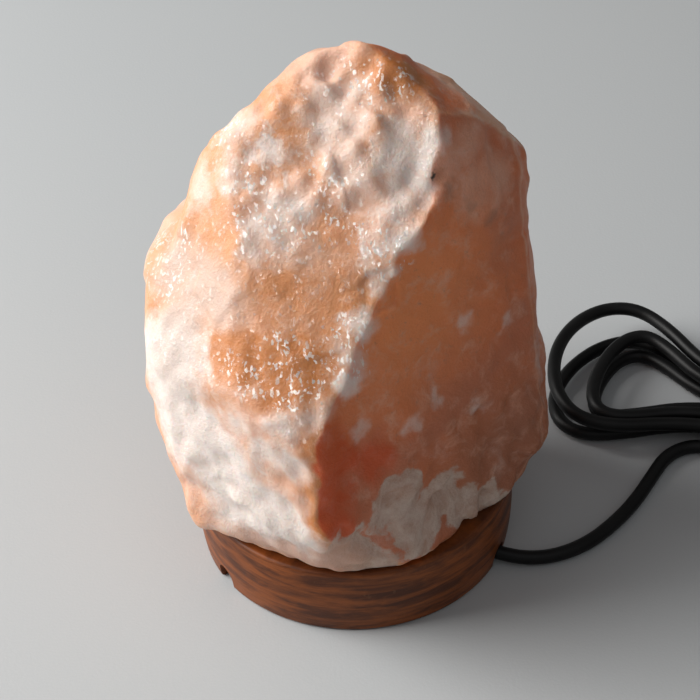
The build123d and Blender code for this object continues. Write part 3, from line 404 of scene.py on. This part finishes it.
# Marks on the rock: radius and soft edge of a mark's blots, then their places, all in mm.
rock_marks = {
    "amber": (6, 9, [
        (-26, -45, 120), (-34, -42, 120), (-17, -45, 122), (-23, -50, 112), (-12, -48, 120),
        (-17, -52, 113),
    ]),
    "honey": (4, 12, [
        (-16, -36, 136), (-6, -37, 136), (-1, -34, 142), (-9, -42, 128), (-25, -34, 135),
        (-2, -24, 157),
    ]),
    "red": (4, 10, [
        (-4, -62, 86), (-9, -66, 74), (-8, -66, 64), (5, -55, 80), (-10, -62, 94), (-14, -66, 82),
        (-15, -67, 70),
    ]),
    "red_crown": (4, 8, [(18, 0, 194), (11, 2, 196), (22, 1, 192)]),
    "white_flank": (12, 16, [
        (-44, -44, 69), (-56, -35, 80), (-33, -53, 53), (-59, -26, 100), (-30, -60, 52),
    ]),
    "veins": (2, 9, [
        (-24, -59, 100), (-30, -56, 86), (-23, -61, 88), (-15, -58, 108), (-37, -49, 96),
        (-3, -49, 123), (-2, -53, 117), (-22, -18, 159), (-14, -20, 158), (-31, -22, 150),
        (17, -13, 177), (23, -19, 169), (18, -22, 164), (-35, -10, 166), (-4, -4, 183),
    ]),
    # painted light: the left rim, which faces the window lamp, painted a washed-out pale pink
    "painted_lit_rim": (4, 16, [(-57, -10, 130), (-54, -22, 120), (-58, -27, 109), (-48, -24, 130)]),
    "toe": (5, 11, [
        (-2, -64, 49), (5, -60, 38), (14, -52, 59), (22, -49, 42), (31, -42, 46), (41, -36, 38),
        (49, -30, 34),
    ]),
    "chin": (5, 8, [(-20, -55, 37), (-10, -60, 40), (-6, -63, 46), (-33, -46, 36)]),
    "white_clouds": (3, 12, [
        (-20, -23, 152), (1, -7, 181), (4, -14, 172), (-35, 2, 178), (-47, -1, 158), (-4, -2, 186),
    ]),
    "ridge": (2, 7, [
        (31, -15, 178), (26, -21, 168), (19, -30, 154), (12, -36, 144), (5, -42, 133),
        (-2, -53, 115),
    ]),
    # where splinters glint: they are tilted and shinier here, and their painted highlights gather here
    "glints": (3, 10, [
        (-25, -43, 123), (-16, -48, 119), (-33, -47, 115), (-21, -53, 111), (5, 0, 192),
        (18, -1, 194), (10, -3, 189), (-64, 5, 127), (-54, -9, 138), (-59, -10, 128),
        (-30, -13, 163), (-34, -19, 154), (-21, -23, 152), (-13, -23, 155), (-2, -14, 170),
        (2, -23, 159), (13, -27, 155), (15, -33, 148), (0, -44, 129), (-2, -49, 121),
        (-38, 3, 176),
    ]),
    "pale_spots": (1, 5, [
        (1, -55, 95), (20, -42, 89), (28, -35, 94), (42, -27, 81), (37, -25, 112), (51, -16, 103),
    ]),
    # painted shade: a dark line along the fold where the upper right facet steps down to the brown face
    "painted_fold_shade": (1, 5, [(35, -18, 165), (41, -15, 157), (48, -11, 148), (55, -8, 139)]),
    "crown_side": (4, 10, [(41, -5, 174), (34, -14, 173), (50, -6, 158), (41, -14, 160)]),
    "dark_specks": (0.6, 1.2, [(33, -18, 168), (45, -17, 123), (37, -17, 156)]),
}
# Two wide blots on the brown face, painted light high by the arris and painted shade low on the right:
# centre, radius and soft edge in mm.
painted_light_blot = ((17, -37, 132), 6, 52)
painted_shade_blot = ((56, -24, 48), 8, 50)


class RockSalt(Finish):
    """Salmon and white salt: wet broken faces on the left, a duller brown one on the right.

    The shares of the facet groups are read from the mesh, and the marks from the table above.
    What several of the finish's sockets need is kept here, so that it's worked out once.
    """

    def __init__(self):
        super().__init__("rock_salt", Subsurface_Weight=0.2, Subsurface_Scale=6 * mm, IOR=1.5)
        self.shader.inputs["Subsurface Radius"].default_value = (1.0, 0.45, 0.25)
        self.where = self.place()
        drift = self.noise(self.where, 30 * mm, detail=4, out="Color")
        bent = self.moved(self.where, drift, 12 * mm)
        self.fine_drift = self.noise(self.where, 6 * mm, detail=4, out="Color")
        self.ragged = self.moved(bent, self.fine_drift, 5 * mm)
        self.tints = self.noise(bent, 38 * mm, detail=3)
        self.mottling = self.noise(bent, 8 * mm, detail=8, roughness=0.7)
        self.crackle = self.noise(self.where, 3 * mm, detail=6, roughness=0.75)
        self.wet, self.brown, self.rust = map(self.share, ("wet", "brown", "rust"))
        self.marks = {name: self.mark(*row) for name, row in rock_marks.items()}

    def share(self, name):
        """A facet group's share of the skin, with its border broken up by the mottling."""
        part = self.node("Attribute", {"attribute_name": name}, None, "Fac")
        return (part + (self.mottling - 0.5) * 0.6).step(0.3, 0.7)

    def mark(self, radius, soft, places):
        """The largest of a mark's blots."""
        first, *others = (self.blot(self.ragged, place, radius, soft) for place in places)
        for other in others:
            first = first.larger(other)
        return first

    def whiteness(self):
        """How white the salt is: clouds, the flank, the ridge and veins, broken up by the grain."""
        marks, brown = self.marks, self.brown
        clouds = self.noise(self.ragged, 30 * mm, detail=7, roughness=0.62)
        white = clouds.step(0.54, 0.68) * 0.85 * (1 - 0.85 * brown) * (1 - 0.6 * self.rust)
        white = white * (1 - marks["amber"]) * (1 - marks["red"]) * (1 - 0.7 * marks["honey"])
        white = white.larger(marks["white_flank"] * (1 - marks["red"]) * (1 - 0.8 * brown))
        white = white.larger(marks["white_clouds"] * 0.6).larger(marks["ridge"] * 0.9)
        white = white.larger(marks["veins"] * 0.75 * (1 - 0.7 * marks["amber"]))
        white = white.larger(marks["pale_spots"] * 0.5)
        white = white + (self.mottling - 0.5) * 0.7 * (1 - 0.6 * brown)
        return (white + (self.crackle - 0.5) * 0.9 * (1 - 0.7 * brown)).held()

    def depth(self):
        """How deep the amber and the red are, patchy within their marks."""
        marks = self.marks
        deep = marks["amber"].larger(marks["red"]).larger(marks["red_crown"])
        deep = deep.larger(marks["honey"] * 0.6)
        return (deep + (self.mottling - 0.5) * 0.8 * deep).held()

    def brown_colour(self):
        """The dull faces: mottled, with painted light near the arris, painted shade low on the right
        and painted shade along a fold high on the right.
        """
        return self.layered(
            self.mix(self.tints.step(0.38, 0.6), rgb(0.74, 0.20, 0.07), rgb(0.62, 0.19, 0.09)),
            # painted light: a warm lit patch high on the brown face, near the arris
            (self.blot(self.where, *painted_light_blot) * 0.9, rgb(1.0, 0.31, 0.10)),
            # painted shade: a dark patch low on the right of the brown face
            (self.blot(self.where, *painted_shade_blot) * 0.75, rgb(0.34, 0.13, 0.07)),
            (self.mottling.step(0.48, 0.72) * 0.45, rgb(0.88, 0.47, 0.32)),
            (self.crackle.step(0.55, 0.72) * 0.45, rgb(0.42, 0.15, 0.07)),
            (self.marks["crown_side"] * 0.5, rgb(0.95, 0.55, 0.40)),
            # painted shade along the fold high on the brown face
            (self.marks["painted_fold_shade"] * 0.5, rgb(0.34, 0.16, 0.10)),
        )

    def sparks(self):
        """A random colour for each small splinter, and how much the splinter glints: its shine, its
        tilt and its painted highlight.
        """
        strewn = self.stretched(self.where, (1.0, 0.9, 0.4), (0.7, 0.5, 0.3))
        splinters = self.cells(self.moved(strewn, self.fine_drift, 1.5 * mm), 0.8 * mm)
        chance = self.node("SeparateColor", None, {"Color": splinters}, "Blue")
        glints = self.marks["glints"]
        spark = (chance + 0.15 * glints + (self.crackle - 0.5) * 1.4).step(0.88, 1.05)
        return splinters, spark * self.wet.larger(glints)

    def colour(self, spark):
        """Salmon salt under the dull faces, then the marks, with painted highlights of the glints on
        top.
        """
        marks, mottling = self.marks, self.mottling
        deep_colour = self.mix(self.brown, rgb(0.64, 0.22, 0.05), rgb(0.68, 0.085, 0.006))
        toe = (marks["toe"] + (mottling - 0.5) * 1.2).step(0.35, 0.65) * 0.85
        toe_colour = self.mix(mottling.step(0.35, 0.65), rgb(0.52, 0.34, 0.26), rgb(0.68, 0.56, 0.48))
        return self.layered(
            self.mix(self.tints.step(0.4, 0.62), rgb(0.84, 0.49, 0.35), rgb(0.80, 0.36, 0.17)),
            (self.brown.larger(self.rust), self.brown_colour()),
            (self.depth() * 0.9, deep_colour),
            (self.whiteness() * 0.9, rgb(0.92, 0.83, 0.78)),
            (toe, toe_colour),
            # painted light on the left rim that faces the window lamp
            (marks["painted_lit_rim"] * 0.7, rgb(0.66, 0.54, 0.48)),
            (marks["chin"] * 0.8, rgb(0.68, 0.38, 0.27)),
            (marks["dark_specks"], rgb(0.06, 0.04, 0.03)),
            # painted highlight: the glinting splinters painted near white
            (spark * (0.25 + 0.5 * marks["glints"]), rgb(0.96, 0.92, 0.89)),
        )

    def normal(self, splinters, spark):
        """Fine broken relief, with each splinter that glints tilted its own way."""
        grain = self.noise(self.where, 1.2 * mm, detail=4, roughness=0.7)
        relief = grain * 0.35 + self.mottling * (0.3 + 0.4 * self.brown) + self.crackle * 0.6
        tilt = self.vector("SCALE", self.centred(splinters), 0.05 + 0.7 * spark)
        tilted = self.vector("ADD", self.bump(relief, 1.3 * mm, 0.7), tilt)
        return self.node("VectorMath", {"operation": "NORMALIZE"}, {0: tilted})

    def roughness(self, spark):
        """Shinier on the wet faces and where it glints."""
        return 0.46 - 0.16 * self.wet + 0.12 * (self.mottling - 0.5) - 0.18 * spark


def rock_salt():
    """The whole finish of the rock."""
    salt = RockSalt()
    splinters, spark = salt.sparks()
    return salt.feed(
        Base_Color=salt.colour(spark),
        Roughness=salt.roughness(spark),
        Normal=salt.normal(splinters, spark),
    )


# ------------------------------------------------------------------------ plain finishes


def stained_wood():
    """Orange-brown stain over fine grain that runs level round the turned base."""
    wood = Finish("stained_wood", Specular_IOR_Level=0.3)
    where = wood.place()
    long_grain = wood.stretched(where, (1.0, 1.0, 7.0))
    streaks = wood.noise(long_grain, 26 * mm, detail=6, roughness=0.65, distortion=0.4)
    pores = wood.noise(wood.stretched(where, (0.35, 0.35, 9.0)), 5 * mm, detail=4, roughness=0.7)
    worn = wood.noise(where, 6 * mm, detail=5, roughness=0.75)
    stain = wood.layered(
        wood.mix(streaks.step(0.35, 0.65), rgb(0.08, 0.020, 0.005), rgb(0.27, 0.072, 0.014)),
        (pores.step(0.5, 0.75) * 0.5, rgb(0.03, 0.011, 0.006)),
        (worn.step(0.62, 0.78) * 0.25, rgb(0.45, 0.24, 0.12)),
    )
    relief = wood.bump(streaks * 0.5 + pores * 0.5, 0.25 * mm, 0.6)
    return wood.feed(Base_Color=stain, Roughness=0.38 + 0.2 * worn, Normal=relief)


def moulded(name, colour, roughness, gloss=0.5):
    """Moulded plastic or rubber: one colour with a faint cloud and a fine grain."""
    plastic = Finish(name, Specular_IOR_Level=gloss)
    where = plastic.place()
    cloud = plastic.noise(where, 14 * mm, detail=2)
    grain = plastic.noise(where, 0.5 * mm, detail=2)
    lighter = rgb(*(min(1, part * 1.35 + 0.003) for part in colour))
    shade = plastic.mix(cloud.step(0.35, 0.7), rgb(*colour), lighter)
    rough = roughness + (cloud - 0.5) * 0.12
    return plastic.feed(Base_Color=shade, Roughness=rough, Normal=plastic.bump(grain, 0.02 * mm))


def metal(name, colour, roughness):
    """Drawn or pressed metal with fine level scratches and a little tarnish."""
    finish = Finish(name, Metallic=1.0)
    where = finish.place()
    scratches = finish.noise(finish.stretched(where, (1.0, 1.0, 12.0)), 1.5 * mm, detail=3)
    tarnish = finish.noise(where, 5 * mm, detail=4)
    dull = rgb(*(part * 0.6 for part in colour))
    shade = finish.mix(tarnish.step(0.5, 0.8) * 0.6, rgb(*colour), dull)
    rough = roughness + scratches * 0.15
    return finish.feed(Base_Color=shade, Roughness=rough, Normal=finish.bump(scratches, 0.02 * mm))


def clear_glass():
    """Thin clear glass of the bulb."""
    glass = Finish("clear_glass", Transmission_Weight=1.0, IOR=1.45)
    where = glass.place()
    ripple = glass.noise(where, 9 * mm, detail=1)
    return glass.feed(Roughness=0.02 + ripple * 0.03, Normal=glass.bump(ripple, 0.02 * mm))


def dress(material, names):
    """Give a finish to CAD nodes that stay as they are."""
    for name in names:
        mesh = nodes[name].data
        mesh.materials.clear()
        mesh.materials.append(material)


# ------------------------------------------------------------------------------- lead

cord_diameter = 5.4 * mm
lead_azimuth = np.radians(-26.5)
relief_tip = 37 * mm
lead_height = 5.6 * mm
exit_straight = 10 * mm
cord_straight = 9 * mm

hank_middle = np.array([150, 46]) * mm
hank_azimuth = np.radians(153)
hank_half_length = 72 * mm
hank_length_step = 7 * mm
hank_lobe = 64 * mm
hank_lobe_step = 16 * mm
hank_waist = 15.2 * mm
hank_waist_step = 6.9 * mm
hank_pinch = 5
hank_loops = 4
# Where in the first loop the lead comes in, and over how many loops it climbs half way through.
hank_first = 1 / 12
climb_loops = 0.5
table_gap = 1 * mm
layer_gap = 0.6 * mm
loop_height = cord_diameter / 2 + table_gap
layer_step = cord_diameter + layer_gap
points_per_loop = 24
# How the loops at the lamp's end fan out, one row a pass: along, across and up.
fan = np.array([(2, 9.5, 0), (-6, 4, 0), (-9.5, 1.5, 3), (3, -4, 6)]) * mm


def hank_point(loops):
    """Where the lead lies after so many loops: in on the table, out again on top.

    Along is the hank's half length times a cosine.  Across is the lobe's half width times a
    sine, drawn in to the waist's where the sine is near 1.  Both get a step smaller for each
    loop further in.  Half way through, the lead climbs smoothly to the upper layer, and at
    the lamp's end each pass is moved by its row of the fan.
    """
    depth = min(loops, hank_loops - loops)
    lobe = hank_lobe - hank_lobe_step * depth
    waist = hank_waist - hank_waist_step * depth
    phase = 2 * np.pi * loops + np.pi / 2
    along = (hank_half_length - hank_length_step * depth * np.cos(phase) ** 2) * np.cos(phase)
    across = np.sin(phase) * (lobe - (lobe - waist) * abs(np.sin(phase)) ** hank_pinch)
    climb = np.clip((loops - hank_loops / 2) / climb_loops + 0.5, 0, 1)
    rise = layer_step * climb * climb * (3 - 2 * climb)
    forward = np.array([np.cos(hank_azimuth), np.sin(hank_azimuth)])
    sideways = np.array([-forward[1], forward[0]])
    flat = hank_middle + along * forward + across * sideways
    outwards, aside, lift = fan[min(int(loops), hank_loops - 1)] * max(np.cos(phase), 0) ** 2
    flat = flat + outwards * forward + aside * sideways
    return np.array([*flat, loop_height + rise + lift])


def hank_way(loops):
    """Unit vector along the lead there."""
    step = 1e-4
    line = hank_point(loops + step) - hank_point(loops - step)
    return line / np.linalg.norm(line)


def lead_point(outwards, height):
    """A point over the lead's straight way out of the base."""
    return np.array([outwards * np.cos(lead_azimuth), outwards * np.sin(lead_azimuth), height])


def millimetres(*points):
    """Points written in millimetres, as vectors in metres."""
    return [np.array(point) * mm for point in points]


def lead_route():
    """From the relief's tip, through the hank, to the switch."""
    last = hank_first + hank_loops
    inlet = hank_point(hank_first) - hank_way(hank_first) * cord_diameter
    outlet = hank_point(last) + hank_way(last) * cord_diameter
    loops = np.linspace(hank_first, last, hank_loops * points_per_loop + 1)
    return [
        lead_point(relief_tip, lead_height),
        lead_point(relief_tip + exit_straight, lead_height),
        *millimetres(
            (52.5, -26.1, 4.3),
            (63.0, -28.0, 3.1),
            (74.0, -26.6, 2.7),
            (85.5, -21.2, 2.7),
            (95.5, -12.5, 2.7),
            (105.5, -1.0, 2.7),
            (114.0, 12.5, 2.7),
            (121.0, 24.0, 2.7),
            (131.0, 30.0, 2.75),
            (142.5, 27.5, 2.9),
            (151.8, 18.9, 3.3),
        ),
        inlet - hank_way(hank_first) * cord_straight,
        inlet,
        *(hank_point(turn) for turn in loops),
        outlet,
        outlet + hank_way(last) * cord_straight,
        *millimetres((175.0, -24.0, 8.4), (174.7, -33.0, 6.0), (174.7, -42.0, 6.0)),
    ]


def plug_route():
    """From the switch to the plug's relief."""
    return millimetres(
        (174.7, -104.0, 6.0),
        (174.7, -114.0, 6.0),
        (174.9, -123.0, 4.3),
        (180.8, -132.7, 3.0),
        (191.4, -139.4, 2.7),
        (204.7, -141.8, 2.75),
        (218.0, -139.4, 3.3),
        (228.6, -132.8, 4.8),
        (234.7, -124.5, 6.85),
        (234.7, -112.0, 6.85),
    )


def flex(name, route, material):
    """A round flex along a NURBS spline whose control points are the route."""
    data = bpy.data.curves.new(name, "CURVE")
    data.dimensions = "3D"
    data.bevel_depth = cord_diameter / 2
    data.bevel_resolution = 5
    data.use_fill_caps = True
    spline = data.splines.new("NURBS")
    spline.points.add(len(route) - 1)
    for knot, point in zip(spline.points, route):
        knot.co = (*point, 1)
    spline.order_u = 3
    spline.use_endpoint_u = True
    spline.resolution_u = 6
    data.materials.append(material)
    piece = bpy.data.objects.new(name, data)
    bpy.context.collection.objects.link(piece)
    return piece


# ------------------------------------------------------------------------------- table


def table_top():
    """Pale table that the lamp stands on: a square with soft clouds and a fine tooth."""
    reach = 4.0
    corners = [(-reach, -reach, 0), (reach, -reach, 0), (reach, reach, 0), (-reach, reach, 0)]
    mesh = bpy.data.meshes.new("table_top")
    mesh.from_pydata(corners, [], [(0, 1, 2, 3)])
    paint = Finish("table_paint", Roughness=0.55)
    where = paint.place()
    cloud = paint.noise(where, 0.4, detail=2)
    grain = paint.noise(where, 1.2 * mm, detail=2)
    shade = paint.mix(cloud, rgb(0.49, 0.51, 0.53), rgb(0.525, 0.54, 0.55))
    mesh.materials.append(paint.feed(Base_Color=shade, Normal=paint.bump(grain, 0.05 * mm)))
    top = bpy.data.objects.new("table_top", mesh)
    bpy.context.collection.objects.link(top)


# ---------------------------------------------------------------------------- assembly

photo_camera()
plain_world(colour=(1.0, 0.985, 0.965), strength=0.155)
soft_lamp(
    "window",
    place=(-1.3, 0.14, 0.95),
    aim=(0, 0, 0.08),
    size=1.15,
    power=40,
    colour=(1.0, 0.99, 0.96),
)
soft_lamp(
    "room",
    place=(0.3, -1.0, 1.6),
    aim=(0, 0, 0.1),
    size=1.6,
    power=2.5,
    colour=(0.95, 0.97, 1.0),
)
table_top()

rock = rock_skin()
rock.data.materials.append(rock_salt())
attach(rock, "stone")
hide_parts("salt_crystal")

sheath = moulded("black_flex", (0.003, 0.003, 0.0033), 0.45, gloss=0.25)
lead = flex("lead", lead_route(), sheath)
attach(lead, "holder")
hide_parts("cord_lead", "cord_hank", "cord_tail")
plug_lead = flex("plug_lead", plug_route(), sheath)
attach(plug_lead, "holder")
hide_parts("cord_plug_run")

black_plastic = moulded("black_plastic", (0.02, 0.02, 0.022), 0.42)
copper = metal("copper_core", (0.75, 0.36, 0.2), 0.25)
brass = metal("brass", (0.78, 0.56, 0.26), 0.28)
steel = metal("steel", (0.56, 0.56, 0.56), 0.3)

dress(sheath, ["cord_in_holder", "cord_in_switch"])
dress(stained_wood(), ["wooden_base"])
dress(black_plastic, ["holder_body", "holder_cap", "cord_relief", "cord_clamp", "hank_tie"])
dress(black_plastic, ["switch_base", "switch_cover", "switch_clamps", "rocker", "rocker_plunger"])
dress(black_plastic, ["plug_body", "plug_relief", "pin_sleeves"])
dress(copper, ["live_wire", "neutral_wire", "switch_live_wires", "switch_neutral_wire"])
dress(moulded("white_ceramic", (0.75, 0.73, 0.68), 0.55), ["contact_block"])
dress(brass, ["holder_terminals", "screw_shell", "centre_contact"])
dress(brass, ["switch_contacts", "moving_contact"])
dress(steel, ["clamp_screws", "terminal_screws", "spring_clips", "base_screws"])
dress(steel, ["switch_screws", "switch_clamp_screws"])
dress(metal("nickel_plate", (0.66, 0.64, 0.6), 0.18), ["plug_pins", "bulb_cap"])
dress(moulded("grey_nylon", (0.35, 0.35, 0.35), 0.5), ["wall_plugs"])
dress(metal("bulb_lead", (0.45, 0.45, 0.47), 0.45), ["bulb_contact"])
dress(moulded("black_glass", (0.01, 0.01, 0.012), 0.08), ["bulb_insulator"])
dress(clear_glass(), ["bulb_glass", "glass_stem"])
dress(metal("filament_metal", (0.3, 0.3, 0.31), 0.35), ["filament_supports", "filament"])

bpy.context.scene.view_settings.view_transform = "Standard"
